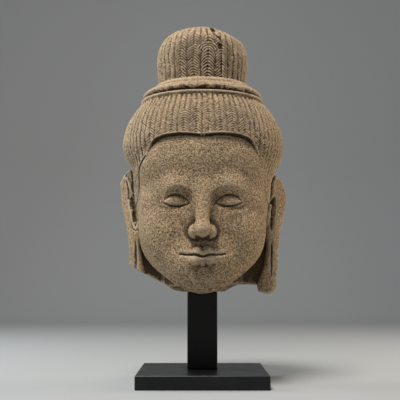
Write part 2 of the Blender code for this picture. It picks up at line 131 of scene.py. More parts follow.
# The slots in the ears, two stretches each: both ends across and up, half the width, how much deeper the
# stretch is cut and how much painted shade lies in it, negative for painted light
SLOTS = (
    ((-87.4, 103.0), (-86.2, 92.0), 3.0, 4.2, 0.8),
    ((-85.2, 91.0), (-82.8, 77.0), 2.9, 4.2, 0.8),
    ((88.4, 103.0), (86.6, 84.0), 3.0, 1.0, -0.35),
    ((83.8, 77.0), (81.4, 67.0), 2.4, 1.0, -0.35),
)

# The face follows a plain canon: three equal thirds from the hairline to the chin, five eye widths across
FACE_FRONT_Y = -14.0  # lids and lips are cut only before this
HAIRLINE = 164.5
CHIN = -9.0
THIRD = (HAIRLINE - CHIN) / 3
BROW = HAIRLINE - THIRD
NOSE_FOOT = BROW - THIRD
EYE_WIDTH = 30.0
EYE_LINE = BROW - 0.29 * THIRD
MOUTH_LINE = NOSE_FOOT - THIRD / 3


# Forms, as how far each point lies outside them, negative inside
def ellipsoid(points, centre, radii):
    local = points - np.array(centre)
    radii = np.array(radii)
    near = np.linalg.norm(local / radii, axis=1)
    slope = np.linalg.norm(local / radii**2, axis=1)
    return near * (near - 1) / np.maximum(slope, 1e-9)


def limb(points, start, end, start_radius, end_radius):
    """A round bar that tapers from one end to the other."""
    start, end = np.array(start), np.array(end)
    along = end - start
    share = np.clip((points - start) @ along / (along @ along), 0, 1)
    off_axis = np.linalg.norm(points - start - share[:, None] * along, axis=1)
    return off_axis - (start_radius + share * (end_radius - start_radius))


def merged(first, second, blend):
    """The union of two forms, with a fillet about as wide as blend between them."""
    share = np.clip(0.5 + 0.5 * (second - first) / blend, 0, 1)
    return second * (1 - share) + first * share - blend * share * (1 - share)


def hollowed(form, cutter, blend):
    """The form with the cutter taken out of it, and a rounded lip."""
    return -merged(-form, cutter, blend)


def smooth_step(low, high, value):
    """0 up to low and 1 from high on, with a smooth way between them."""
    share = np.clip((value - low) / (high - low), 0, 1)
    return share * share * (3 - 2 * share)


def stretch(start, end, value):
    """1 from the start to the end, each a pair of places between which it rises from 0 or falls to 0."""
    return smooth_step(*start, value) * (1 - smooth_step(*end, value))


def bump(value, middle, width):
    """1 at the middle, falling to 0 a few widths away."""
    return np.exp(-(((value - middle) / width) ** 2))


def through(places, values, at):
    """A smooth curve through a few points, flat at both ends."""
    places, values = np.array(places, float), np.array(values, float)
    slopes = np.gradient(values, places)
    slopes[0] = slopes[-1] = 0
    index = np.clip(np.searchsorted(places, at) - 1, 0, len(places) - 2)
    width = places[index + 1] - places[index]
    t = np.clip((at - places[index]) / width, 0, 1)
    return (
        values[index] * (1 + 2 * t) * (1 - t) ** 2
        + slopes[index] * width * t * (1 - t) ** 2
        + values[index + 1] * t * t * (3 - 2 * t)
        + slopes[index + 1] * width * t * t * (t - 1)
    )


def noise(points, size, seed):
    """Smooth random values from -1 to 1 that change over about this size."""
    table = np.random.default_rng(seed).uniform(-1, 1, (64, 64, 64))
    cell = points / size
    low = np.floor(cell).astype(int)
    share = cell - low
    share = share * share * (3 - 2 * share)
    value = np.zeros(len(points))
    for corner in itertools.product((0, 1), repeat=3):
        weight = np.prod(np.where(corner, share, 1 - share), axis=1)
        value += weight * table[tuple(((low + corner) % 64).T)]
    return value


# The skull and the face
def skull_distance(points):
    """The bald head, without its features."""
    one_side = np.column_stack([np.abs(points[:, 0]), points[:, 1:]])
    crown = ellipsoid(points, (0, -9, 147), (84.5, 98, 87))
    forehead = ellipsoid(one_side, (32, -44, 142), (40, 46, 38))
    back = ellipsoid(points, (0, 17, 108), (76, 70, 82))
    form = merged(merged(crown, forehead, 20), back, 22)
    form = merged(form, ellipsoid(points, (0, -17, 94), (77, 75, 72)), 18)
    form = merged(form, ellipsoid(points, (0, -33, 68), (68, 66, 64)), 20)
    jaw_angle, chin = (37, -20, 46), (0, -75, CHIN + 23)
    form = merged(form, limb(one_side, jaw_angle, chin, 30, 21), 26)
    form = merged(form, ellipsoid(points, (0, -70, CHIN + 28), (40, 31, 25)), 22)
    cheek = ellipsoid(one_side, (39, -57, 54), (26, 31, 33))
    return merged(form, cheek, 24)


def with_brow_and_eyes(form, one_side):
    """A level brow over shallow sockets, with rounded lids lying closed in them."""
    form = merged(form, limb(one_side, (0, -90, BROW - 4), (27, -88, BROW + 1), 8, 8), 20)
    form = merged(form, limb(one_side, (27, -88, BROW + 1), (58, -62, BROW - 7), 8, 4), 20)
    socket = ellipsoid(one_side, (EYE_WIDTH + 1, -111, EYE_LINE + 1), (25, 17, 15))
    form = hollowed(form, socket, 6)
    upper_lid = ellipsoid(one_side, (EYE_WIDTH, -80, EYE_LINE + 1), (18.5, 17, 12))
    lower_lid = ellipsoid(one_side, (EYE_WIDTH, -79, EYE_LINE - 11), (19, 13, 8))
    return merged(merged(form, lower_lid, 6), upper_lid, 2)


def with_nose(form, points, one_side):
    form = merged(form, limb(points, (0, -96, BROW), (0, -112, NOSE_FOOT + 14), 5.5, 7.5), 12)
    form = merged(form, ellipsoid(points, (0, -113, NOSE_FOOT + 9), (8.5, 12, 8.5)), 6)
    form = merged(form, ellipsoid(one_side, (9.5, -104, NOSE_FOOT + 7.5), (6.5, 11, 7.5)), 4)
    crease = limb(one_side, (18.5, -106, NOSE_FOOT + 3), (17, -108, NOSE_FOOT + 13), 1, 1)
    form = hollowed(form, crease, 5)
    nostril = ellipsoid(one_side, (5.8, -110, NOSE_FOOT - 0.5), (3.2, 5.5, 3))
    return hollowed(form, nostril, 2.5)


def with_mouth(form, points, one_side):
    """A closed mouth: a rounded muzzle, the two lips, the dip over them and the one below."""
    form = merged(form, ellipsoid(points, (0, -78, MOUTH_LINE + 3), (34, 25, 24)), 14)
    corner = (25, -93, MOUTH_LINE + 1.2)
    peak = (5, -104.5, MOUTH_LINE + 4)
    form = merged(form, limb(one_side, corner, peak, 2.8, 5.2), 2.5)
    form = merged(form, limb(one_side, peak, (0, -104.5, MOUTH_LINE + 3.2), 5.2, 4.8), 3)
    full = (7, -103, MOUTH_LINE - 6)
    form = merged(form, limb(one_side, (24, -93, MOUTH_LINE - 1), full, 2.8, 6.6), 2.5)
    form = merged(form, limb(one_side, full, (0, -103, MOUTH_LINE - 5.8), 6.6, 6.4), 3)
    philtrum = limb(points, (0, -112, NOSE_FOOT - 2), (0, -114, MOUTH_LINE + 9), 2.4, 3.2)
    form = hollowed(form, philtrum, 4)
    dip = limb(points, (-6, -110, MOUTH_LINE - 17), (6, -110, MOUTH_LINE - 17), 5, 5)
    return hollowed(form, dip, 13)


def face_distance(points):
    one_side = np.column_stack([np.abs(points[:, 0]), points[:, 1:]])
    form = skull_distance(points)
    form = with_brow_and_eyes(form, one_side)
    form = with_mouth(form, points, one_side)
    return with_nose(form, points, one_side)


def line_depth(points, line, half_width):
    """1 on a line drawn across the front of the face as height over |x|, falling to 0 beside it."""
    height, first, last = line
    side = np.abs(points[:, 0])
    inside = stretch((first - 3, first + 2), (last - 2, last + 3), side)
    near = bump(points[:, 2], height(side), half_width)
    return inside * near * (points[:, 1] < FACE_FRONT_Y)


def lid_line(side):
    across = (side - EYE_WIDTH) / (EYE_WIDTH / 2)
    return EYE_LINE - 5.0 + 4.4 * across**2 + 0.5 * across


def lid_fold(side):
    across = (side - EYE_WIDTH) / (EYE_WIDTH / 2)
    return EYE_LINE + 8.2 - 8.0 * across**2 + 0.5 * across


def lip_line(side):
    return MOUTH_LINE - 1.2 * bump(side, 0, 4.5) + 0.8 * bump(side, 9, 6) + 0.0028 * side**2


def face_lines(points):
    """How deep the chisel went along the lids, the folds over them and between the lips."""
    inner, outer = EYE_WIDTH / 2, 3 * EYE_WIDTH / 2
    depth = 1.5 * line_depth(points, (lid_line, inner + 0.5, outer - 0.5), 1.1)
    depth += 0.9 * line_depth(points, (lid_fold, inner + 0.5, outer - 0.5), 1.1)
    return depth + 2.4 * line_depth(points, (lip_line, -5, 25), 1.2)


# The hair
def turn_of(points):
    """The angle round the hair's axis from the front, positive to +X, and the distance from the axis."""
    x, y = points[:, 0], points[:, 1] - HAIR_AXIS_Y
    return np.arctan2(x, -y), np.hypot(x, y)


def hairline(angles):
    """The height of the hair's lower edge: level over the brow, down before the ear and low behind."""
    degrees = np.degrees(np.abs(angles))
    turns = (0, 12, 22, 30, 36, 39.5, 43, 49, 59, 65, 72, 100, 125, 180)
    brow = (164.5, 166.3, 166.4, 165.0)
    temple = (161.5, 157.0, 150.0, 141.5, 129.0, 114.0, 103.0)
    behind = (92.0, 66.0, 58.0)
    return through(turns, brow + temple + behind, degrees)


def cap_radius(angles, heights):
    """The hair's distance from its axis: its own dome, and never less than a layer on the skull."""
    under = CAP_UNDER + CAP_UNDER_LEAN * np.sin(angles)
    upright = np.where(heights > CAP_BELLY, CAP_RISE, under)
    flat = np.sqrt(np.clip(1 - ((heights - CAP_BELLY) / upright) ** 2, 0, 1))
    fuller = CAP_FRONT_FULLNESS * np.maximum(np.cos(angles), 0) * (heights > CAP_BELLY)
    flat = flat ** (1 - fuller)
    across = np.where(np.sin(angles) > 0, CAP_RIGHT, CAP_LEFT)
    lengthwise = np.where(np.cos(angles) > 0, CAP_FRONT, CAP_BEHIND)
    oval = 1 / np.hypot(np.sin(angles) / across, np.cos(angles) / lengthwise)
    level = np.column_stack([np.sin(angles), -np.cos(angles), np.zeros(len(angles))])
    start = np.column_stack([0 * angles, 0 * angles + HAIR_AXIS_Y, heights])
    # From outside, walk in to the skull
    reach = np.full(len(angles), 130.0)
    for _ in range(40):
        reach -= 0.85 * skull_distance(start + reach[:, None] * level)
    turn = np.abs(angles)
    temple = stretch((0.64, 0.80), (1.5, 1.9), turn)
    layer = reach + CAP_LAYER + (CAP_LAYER_TEMPLE - CAP_LAYER) * temple
    full = -merged(-flat * oval, -layer, 6)
    edge = 1 - smooth_step(0, TEMPLE_SLOPE, heights - hairline(angles))
    return full + temple * edge * (layer - full)


def hair_radius(angles, heights):
    """The cap's distance from its axis, with the short wall between its top and the rim."""
    cap = cap_radius(angles, np.minimum(heights, CAP_TOP))
    share = np.clip((heights - CAP_TOP) / (RIM_FOOT - CAP_TOP), 0, 1)
    return cap + share * (RIM_RADIUS - cap)


# The hair's radius on a grid of turns and heights, read between its points
GRID_TURNS = np.linspace(-math.pi, math.pi, 181)
GRID_HEIGHTS = np.linspace(50.0, 220.0, 86)
GRID_RADII = hair_radius(
    np.repeat(GRID_TURNS, len(GRID_HEIGHTS)), np.tile(GRID_HEIGHTS, len(GRID_TURNS))
).reshape(len(GRID_TURNS), len(GRID_HEIGHTS))


def cap_distance(points):
    angles, radius = turn_of(points)
    across = (angles + math.pi) / (2 * math.pi) * (len(GRID_TURNS) - 1)
    up = (points[:, 2] - GRID_HEIGHTS[0]) / (GRID_HEIGHTS[1] - GRID_HEIGHTS[0])
    i = np.clip(across.astype(int), 0, len(GRID_TURNS) - 2)
    j = np.clip(up.astype(int), 0, len(GRID_HEIGHTS) - 2)
    u, v = across - i, up - j
    low = GRID_RADII[i, j] * (1 - u) + GRID_RADII[i + 1, j] * u
    high = GRID_RADII[i, j + 1] * (1 - u) + GRID_RADII[i + 1, j + 1] * u
    return radius - (low * (1 - v) + high * v)


def knot_distance(points):
    """The topknot's dome, worn down to a slanting plane at its right shoulder."""
    _, radius = turn_of(points)
    height = points[:, 2]
    below = np.clip((KNOT_BELLY - height) / (KNOT_BELLY - KNOT_FOOT), 0, 1)
    widest = KNOT_RADIUS - KNOT_WAIST * below
    rise = np.maximum(height - KNOT_BELLY, 0) / (KNOT_TOP - KNOT_BELLY)
    power = KNOT_FULLNESS
    dome = (((radius / widest) ** power + rise**power) ** (1 / power) - 1) * KNOT_RADIUS
    normal = np.array(Vector(WORN_PLANE_NORMAL).normalized())
    past = (points - WORN_PLANE_POINT) @ normal
    return -merged(-dome, -past, 3)


# Meshes as arrays
class Surface:
    """The head's mesh as arrays, in the head's own frame."""

    def __init__(self, mesh):
        self.mesh = mesh
        count = len(mesh.vertices)
        points = np.empty(3 * count, np.float32)
        mesh.vertices.foreach_get("co", points)
        self.points = (points.reshape(-1, 3).astype(float) - ORIGIN) / UNIT
        ends = np.empty(2 * len(mesh.edges), np.int32)
        mesh.edges.foreach_get("vertices", ends)
        self.ends = ends.reshape(-1, 2)
        self.links = np.bincount(ends, minlength=count)

    def write(self):
        inside = np.clip(self.points * UNIT + ORIGIN, LOW, HIGH)
        self.mesh.vertices.foreach_set("co", inside.astype(np.float32).ravel())
        self.mesh.update()

    def normals(self):
        self.write()
        normals = np.empty(3 * len(self.points), np.float32)
        self.mesh.vertex_normals.foreach_get("vector", normals)
        return normals.reshape(-1, 3).astype(float)

    def averaged(self, values):
        """Each point's value as the mean of its neighbours' values."""
        columns = []
        for column in np.atleast_2d(values.T):
            total = np.bincount(self.ends[:, 0], column[self.ends[:, 1]], len(self.points))
            total += np.bincount(self.ends[:, 1], column[self.ends[:, 0]], len(self.points))
            columns.append(total / self.links)
        return np.column_stack(columns) if values.ndim > 1 else columns[0]

    def relax(self, share, times):
        for _ in range(times):
            self.points += share * (self.averaged(self.points) - self.points)

    def soften(self, share, times):
        """Evens out the chosen points' small steps and keeps their size."""
        for _ in range(times):
            self.relax(0.50 * share, 1)
            self.relax(-0.52 * share, 1)

    def sink(self, depth):
        """Moves each point inwards by its depth."""
        self.points -= depth[:, None] * self.normals()

    def hollowness(self, times):
        """How far each point lies under the mean of the points round it, so many steps away."""
        mean = self.points
        for _ in range(times):
            mean = self.averaged(mean)
        return ((mean - self.points) * self.normals()).sum(axis=1)


def step_onto(points, distance):
    """The way from each point to a form's surface, by one Newton step along the form's measured slope."""
    value = distance(points)
    slope = np.empty_like(points)
    for axis in range(3):
        shift = np.zeros(3)
        shift[axis] = 0.05
        slope[:, axis] = (distance(points + shift) - value) / 0.05
    return -value[:, None] * slope / np.maximum((slope**2).sum(axis=1), 1e-6)[:, None]


def draw_onto(surface, chosen, distance, near, far):
    """Draws the chosen points onto a form: fully where they lie nearer than near, not at all past far.
    Returns how fully each point was drawn, from 0 to 1."""
    index = np.flatnonzero(chosen)
    step = step_onto(surface.points[index], distance)
    weight = 1 - smooth_step(near, far, np.linalg.norm(step, axis=1))
    index, weight = index[weight > 0], weight[weight > 0]
    for _ in range(3):
        step = step_onto(surface.points[index], distance)
        surface.points[index] += weight[:, None] * step
    on_form = np.zeros(len(surface.points))
    on_form[index] = weight
    return on_form


# Carving
def line_distance(points, line):
    """How far each point lies from a line, both seen from the front."""
    seen = points[:, (0, 2)]
    away = np.full(len(points), np.inf)
    for start, end in zip(line, line[1:]):
        start, along = np.array(start), np.array(end) - np.array(start)
        share = np.clip((seen - start) @ along / (along @ along), 0, 1)
        away = np.minimum(away, np.linalg.norm(seen - start - share[:, None] * along, axis=1))
    return away


def plaits(points, turn, width, height, columns, centre):
    """The columns of plaited hair: how near each point is to the groove between two of them, its place in
    the run of strokes, and how strongly they are cut there. In the next column they slant the other way."""
    place = (turn - centre) * columns / (2 * math.pi) + 0.09 * noise(points, 9, 41)
    index = np.floor(place)
    across = place - index
    groove_width = 1.4 + 0.3 * smooth_step(0.5, 1.1, np.abs(turn))
    groove = bump(np.minimum(across, 1 - across) * width, 0, groove_width)
    groove *= 0.75 + 0.35 * noise(points, 4.5, 42)
    uneven = np.random.default_rng(5).uniform(-1, 1, (3, columns))[:, index.astype(int) % columns]
    outwards = np.where(index % 2 == 0, across, 1 - across)
    slant = (STROKE_SLOPE + STROKE_BEND * outwards) * outwards * width
    phase = (height + slant) / (STROKE_PITCH * (1 + 0.08 * uneven[0])) + 0.4 * uneven[1]
    phase += 0.28 * noise(points, 6, 44)
    return groove, phase, (1 + 0.25 * uneven[2]) * (1 + 0.5 * noise(points, 5, 45))


def cut_between_strokes(phase):
    """1 in the middle of each gap between two strokes, 0 on their backs."""
    return (0.5 + 0.5 * np.cos(2 * math.pi * phase)) ** 1.4


def cap_carving(points):
    """The plaits on the cap: worn at the top of the front and before the right ear, plainer behind."""
    turn, radius = turn_of(points)
    height = points[:, 2]
    edge = height - hairline(turn)
    width = 2 * math.pi * radius / CAP_COLUMNS
    rise = np.clip((height - CAP_BELLY) / CAP_RISE, -1, 1)
    length = CAP_ARC * np.arcsin(rise) + 1.1 * noise(points, 22, 3)
    groove, phase, strength = plaits(points, turn, width, length, CAP_COLUMNS, CHEVRON_X / CAP_FRONT)
    worn = 0.7 * bump(turn, 0.0, 0.8) * smooth_step(190, 208, height)
    worn += 0.30 * (1 + noise(points, 15, 8)) * (1 - worn)
    worn = np.maximum(worn, 0.75 * stretch((0.62, 0.95), (1.5, 1.9), turn))
    side = stretch((0.55, 0.95), (1.5, 1.9), -turn)
    plain = smooth_step(1.4, 1.9, np.abs(turn))
    middle = bump(turn, 0.05, 0.45)
    depth = (1 - 0.6 * worn) * (1.45 + 0.45 * side - 0.25 * middle) * groove
    depth *= 1 - 0.3 * plain * smooth_step(190, 206, height)
    fainter = plain * (0.4 + 0.4 * smooth_step(185, 200, height))
    strokes = (1 - worn) * (1 - 0.5 * side) * (1 - fainter) * strength
    depth += (1.30 + 0.45 * middle) * strokes * cut_between_strokes(phase) * (1 - 0.4 * groove)
    depth += 0.45 * np.maximum(noise(points, 2.4, 43), 0) * (1 - plain)
    nicks = 0.9 * (1 - plain) * groove * bump(height, RIM_GROOVE - 1.5, 1.8)
    under_rim = 1 - smooth_step(RIM_GROOVE - 1.2, RIM_GROOVE, height)
    return (depth + nicks) * smooth_step(0.8, 3.5, edge) * under_rim


def knot_carving(points):
    """The plaits on the topknot: deepest in the middle of the front, worn at the crown and the right."""
    turn, radius = turn_of(points)
    height = points[:, 2]
    centre = CHEVRON_X / KNOT_RADIUS
    width = 2 * math.pi * np.maximum(radius, 8) / KNOT_COLUMNS
    wander = 0.9 * noise(points, 18, 12)
    groove, phase, strength = plaits(points, turn, width, height + wander, KNOT_COLUMNS, centre)
    # Over the middle chevron the strokes close into arches
    reach = np.hypot((turn - centre) * KNOT_RADIUS, 1.15 * (height - ARCH_HEIGHT)) + wander
    arched = (1 - smooth_step(ARCH_REACH - 4, ARCH_REACH, reach)) * smooth_step(-3, 5, height - ARCH_HEIGHT)
    arch_cut = cut_between_strokes((reach + ARCH_HEIGHT) / STROKE_PITCH) * smooth_step(3, 6, reach)
    cut = cut_between_strokes(phase) * (1 - arched) + arch_cut * arched
    groove *= 1 - 0.85 * arched
    past = (points - WORN_PLANE_POINT) @ WORN_PLANE_NORMAL
    worn = smooth_step(*KNOT_WORN, height)
    worn = worn + (1 - worn) * 0.14 * (1 + noise(points, 12, 21))
    worn = np.maximum(worn, 0.9 * smooth_step(-9, -2, past))
    middle = 1 - smooth_step(0.25, 0.95, np.abs(turn - 0.04))
    depth = (1 - 0.7 * worn) * 3.1 * groove
    cut_depth = 1.2 + 1.3 * middle
    depth += cut_depth * (1 - worn) * strength * cut * (1 - 0.2 * groove)
    depth += 0.4 * np.maximum(noise(points, 2.4, 43), 0)
    over_band = smooth_step(BAND_TOP - 0.5, BAND_TOP + 1.5, height)
    return depth * over_band * (1 - smooth_step(*KNOT_CROWN, height))


def band_carving(points):
    """The groove over the roll, the chips in its undercut, and the rim's ridge with the groove under it."""
    turn, _ = turn_of(points)
    height = points[:, 2]
    front = 1 - smooth_step(0.75, 1.35, np.abs(turn))
    depth = 2.1 * bump(height, FILLET_GROOVE, 0.95)
    level = points * (1, 1, 0.35)
    chips = np.clip(0.45 + 1.0 * noise(level, 3.2, 51) + 0.5 * noise(level, 7.0, 52), 0, 1)
    depth += 2.6 * chips * front * bump(height, RECESS[1] + 1.4, 2.2)
    depth += 0.9 * bump(height, RIM_GROOVE, 0.8) * (0.65 + 0.35 * noise(points, 4, 53))
    depth -= 1.1 * front * bump(height, RIM_EDGE, 0.9)
    return depth


def recess_filling(points):
    """How far the band's recess is filled up towards the sides, along its radius."""
    turn, radius = turn_of(points)
    height = points[:, 2]
    low, high = RECESS
    inside = stretch((low - 0.3, low + 0.5), (high - 0.5, high + 0.3), height)
    inner, outer = RECESS_RADII
    wanted = inner + (outer - inner) * smooth_step(0.8, 1.35, np.abs(turn))
    return inside * np.clip(wanted - radius, 0, 8) * (radius > 60)


def hairline_cut(points):
    """The dark line under the hair's overhanging edge, and the thin groove farther on at the left."""
    turn, radius = turn_of(points)
    rise = (hairline(turn + 0.01) - hairline(turn - 0.01)) / (0.02 * radius)
    under = (points[:, 2] - hairline(turn)) / np.hypot(1, rise)
    front = 1 - smooth_step(0.62, 0.72, np.abs(turn))
    behind = stretch((0.81, 0.85), (1.05, 1.2), np.abs(turn)) * (turn < 0)
    return 1.6 * front * bump(under, -0.9, 1.1) + 1.0 * behind * bump(under, -0.2, 0.8)


def worn_hairline(points):
    """Where the hair's edge is worn away: before the right ear, and for a short stretch on the left."""
    turn, _ = turn_of(points)
    right = stretch((0.72, 0.84), (1.2, 1.4), turn)
    left = bump(-turn, 0.755, 0.045)
    return (right + left) * bump(points[:, 2], hairline(turn), 5.0)


def front_of_ears(points, normals):
    """1 on the ears' faces that look to the front."""
    beside = (points[:, 1] < 2) & (np.abs(points[:, 0]) > 76)
    return beside * smooth_step(0.25, 0.5, -normals[:, 1])


def chips_and_slots(points, normals):
    """The topknot's gash and hole, the ears' slots, and what lies lower than the left ear's rim."""
    front_of_knot = points[:, 1] < HAIR_AXIS_Y - 12
    depth = 1.6 * bump(line_distance(points, GASH), 0, 1.1) * front_of_knot
    depth += 3.2 * bump(line_distance(points, HOLE), 0, 1.8) * front_of_knot
    front_of_ear = front_of_ears(points, normals)
    for start, end, half_width, deeper, _ in SLOTS:
        away = line_distance(points, (start, end))
        depth += deeper * (1 - smooth_step(half_width - 1.0, half_width + 0.6, away)) * front_of_ear
    rim = line_distance(points, LEFT_EAR_RIM)
    low = 1.5 * smooth_step(0.4, 2.2, rim) * (1 - smooth_step(9, 12, rim))
    low *= smooth_step(100, 106, points[:, 2]) * smooth_step(-101.5, -100.0, points[:, 0])
    lip = line_distance(points, LEFT_SLOT_LIP)
    low += 0.8 * bump(lip, 2.4, 1.0)
    return depth + low * front_of_ear * (points[:, 0] < -78)


def roughness(points, normals):
    """The stone's own unevenness: a fine grain, and rough faces where it broke."""
    under = smooth_step(-0.35, -0.75, normals[:, 2]) * (points[:, 2] < 30)
    past_lobe = (points[:, 0] < -70) & (points[:, 2] < 32)
    ear_top = smooth_step(0.25, 0.6, normals[:, 2]) * (points[:, 0] > 90) * (points[:, 2] > 95)
    broken = np.clip(under * (1 + past_lobe) + ear_top, 0, 1)
    depth = 0.20 * noise(points, 2.0, 31) + 0.14 * noise(points, 5.5, 32)
    return depth + broken * (0.7 * noise(points, 4.0, 33) + 0.5 * noise(points, 9.0, 34))


def pits(points, count, seed):
    """Small round pits at random places on the stone."""
    rng = np.random.default_rng(seed)
    depth = np.zeros(len(points))
    centres = points[rng.integers(0, len(points), count)]
    radii = rng.uniform(0.7, 1.5, count)
    order = np.argsort(points[:, 2])
    heights = points[order, 2]
    for centre, radius in zip(centres, radii):
        first, last = np.searchsorted(heights, (centre[2] - radius, centre[2] + radius))
        near = order[first:last]
        away = np.linalg.norm(points[near] - centre, axis=1) / radius
        depth[near] = np.maximum(depth[near], 0.32 * radius * np.clip(1 - away**2, 0, 1))
    return depth


def painted_shade_and_dirt(surface):
    """How dark the stone is made: dirt and painted shade, a half on plain faces, up to 1 in hollows, none
    on worn edges and painted highlights.
    """
    points, normals = surface.points, surface.normals()
    # Dirt with painted shade in the hollows; the worn crests come out paler
    dirt_and_painted_shade = 0.5 + 1.2 * surface.hollowness(2) + 0.5 * surface.hollowness(14)
    height, side = points[:, 2], np.abs(points[:, 0])
    off_cap = (height < CAP_BELLY) | (height > RIM_FOOT)
    # Painted shade in broad, deep recesses off the cap
    dirt_and_painted_shade += 0.22 * np.maximum(surface.hollowness(70) - 1.0, 0) * off_cap
    # Painted shade in the recesses between the jaw and the lobes, and a little on the face below the brow
    behind_jaw = smooth_step(-62, -42, points[:, 1]) * (1 - smooth_step(30, 50, height))
    behind_jaw *= (1 - smooth_step(70, 76, side)) * smooth_step(0.2, 0.7, -normals[:, 1])
    below_brow = (1 - smooth_step(BROW - 28, BROW - 4, height)) * (1 - smooth_step(-60, -40, points[:, 1]))
    dirt_and_painted_shade += 0.35 * behind_jaw + 0.07 * below_brow
    # Painted shade in the left ear's slots, and painted light in the right ear's
    front_of_ear = front_of_ears(points, normals)
    for start, end, half_width, _, painted_slot_shade in SLOTS:
        away = line_distance(points, (start, end))
        dirt_and_painted_shade += painted_slot_shade * (1 - smooth_step(half_width - 1.0, half_width + 0.4, away)) * front_of_ear
    # Painted highlights along the left ear's rim and on its slot's lip
    for line in (LEFT_EAR_RIM, LEFT_SLOT_LIP):
        dirt_and_painted_shade -= 0.35 * bump(line_distance(points, line), 0, 1.2) * front_of_ear
    # A painted highlight along the rim under the band
    _, radius = turn_of(points)
    dirt_and_painted_shade -= 0.60 * bump(height, RIM_EDGE, 1.0) * smooth_step(71.0, 73.0, radius)
    return np.clip(dirt_and_painted_shade, 0, 1)


def evaluated(obj):
    """The object's mesh with its modifiers, which it then no longer needs."""
    mesh = bpy.data.meshes.new_from_object(obj.evaluated_get(bpy.context.evaluated_depsgraph_get()))
    obj.modifiers.clear()
    return mesh


def even_copy(solid):
    """A copy of the solid with an even mesh."""
    mesh = solid.data.copy()
    bm = bmesh.new()
    bm.from_mesh(mesh)
    bmesh.ops.remove_doubles(bm, verts=bm.verts, dist=1e-6)
    bm.to_mesh(mesh)
    bm.free()
    head = bpy.data.objects.new("carved_stone_head", mesh)
    bpy.context.scene.collection.objects.link(head)
    even = head.modifiers.new("Even mesh", "REMESH")
    even.mode = "VOXEL"
    even.voxel_size = VOXEL * UNIT
    head.data = evaluated(head)
    return head


def shell_of(first):
    """All vertices that hang together with the first one."""
    shell, edge = {first}, [first]
    while edge:
        vertex = edge.pop()
        for link in vertex.link_edges:
            other = link.other_vert(vertex)
            if other not in shell:
                shell.add(other)
                edge.append(other)
    return shell


def drop_loose_bits(mesh):
    """Keeps the mesh's largest shell and deletes the crumbs that meshing leaves beside it."""
    bm = bmesh.new()
    bm.from_mesh(mesh)
    largest, seen = set(), set()
    for vertex in bm.verts:
        if vertex not in seen:
            shell = shell_of(vertex)
            seen |= shell
            largest = max(largest, shell, key=len)
    bmesh.ops.delete(bm, geom=[vertex for vertex in bm.verts if vertex not in largest], context="VERTS")
    bm.to_mesh(mesh)
    bm.free()


def carve(surface):
    """Draws the mesh onto the smooth forms, evens out the rest, and cuts the carving into it."""
    surface.relax(0.5, 2)
    turn, _ = turn_of(surface.points)
    height = surface.points[:, 2]  # a view, so it follows the points as they are drawn
    over_hairline = height - hairline(turn)
    hair = over_hairline > 0.4
    over_ears = hair & (height > EARS_TOP) & (height < RIM_FOOT)
    draw_onto(surface, over_ears, cap_distance, *NEAR_HAIR_OVER_EARS)
    on_cap = draw_onto(surface, hair & (height < RIM_FOOT), cap_distance, *NEAR_HAIR)
    on_knot = draw_onto(surface, height > BAND_TOP - 1, knot_distance, *NEAR_HAIR)
    in_front = (over_hairline < 0.4) & (surface.points[:, 1] < 20)
    on_face = draw_onto(surface, in_front, face_distance, *NEAR_FACE)
    rest = 1 - np.maximum(np.maximum(on_cap, on_knot), on_face)
    surface.soften(rest[:, None], 8)
    surface.relax(0.5 * worn_hairline(surface.points)[:, None], 12)

    out = recess_filling(surface.points)
    _, radius = turn_of(surface.points)
    outwards = (surface.points - (0, HAIR_AXIS_Y, 0)) * (1, 1, 0) / np.maximum(radius, 1)[:, None]
    surface.points += out[:, None] * outwards

    depth = on_cap * cap_carving(surface.points)
    depth += on_knot * knot_carving(surface.points)
    depth += on_face * face_lines(surface.points)
    depth += band_carving(surface.points) * (1 - on_knot) * (radius < 80)
    surface.sink(depth)
    surface.sink(hairline_cut(surface.points) + chips_and_slots(surface.points, surface.normals()))
    surface.sink(roughness(surface.points, surface.normals()) + pits(surface.points, PITS, 4))
    surface.write()


def carved_head(solid):
    """The one piece of stone: the solid's form, carved."""
    head = even_copy(solid)
    surface = Surface(head.data)
    carve(surface)
    # Dirt and painted shade for the stone's colour, kept on the points
    dirt_and_painted_shade = painted_shade_and_dirt(surface).astype(np.float32)
    head.data.attributes.new("dirt_and_painted_shade", "FLOAT", "POINT").data.foreach_set("value", dirt_and_painted_shade)

    head.data.calc_loop_triangles()
    fewer = head.modifiers.new("Fewer faces", "DECIMATE")
    fewer.ratio = MOST_TRIANGLES / len(head.data.loop_triangles)
    head.data = evaluated(head)
    drop_loose_bits(head.data)
    Surface(head.data).write()  # keeps the new corners inside the solid's box too
    head.data.shade_smooth()
    return head


# Materials
def node(tree, kind, inputs=None, **settings):
    made = tree.nodes.new(kind)
    for name, value in settings.items():
        setattr(made, name, value)
    for name, value in (inputs or {}).items():
        if isinstance(value, bpy.types.NodeSocket):
            tree.links.new(value, made.inputs[name])
        else:
            made.inputs[name].default_value = value
    return made


def ramp(tree, value, stops):
    """A colour for each value, through stops of a place and a colour."""
    made = node(tree, "ShaderNodeValToRGB", {"Fac": value})
    elements = made.color_ramp.elements
    while len(elements) < len(stops):
        elements.new(0.5)
    for element, (place, colour) in zip(elements, stops):
        element.position = place
        element.color = (*colour, 1.0)
    return made.outputs["Color"]


def noise_texture(tree, place, scale, detail=3.0, roughness=0.6):
    inputs = {"Vector": place, "Scale": scale, "Detail": detail, "Roughness": roughness}
    return node(tree, "ShaderNodeTexNoise", inputs).outputs["Fac"]


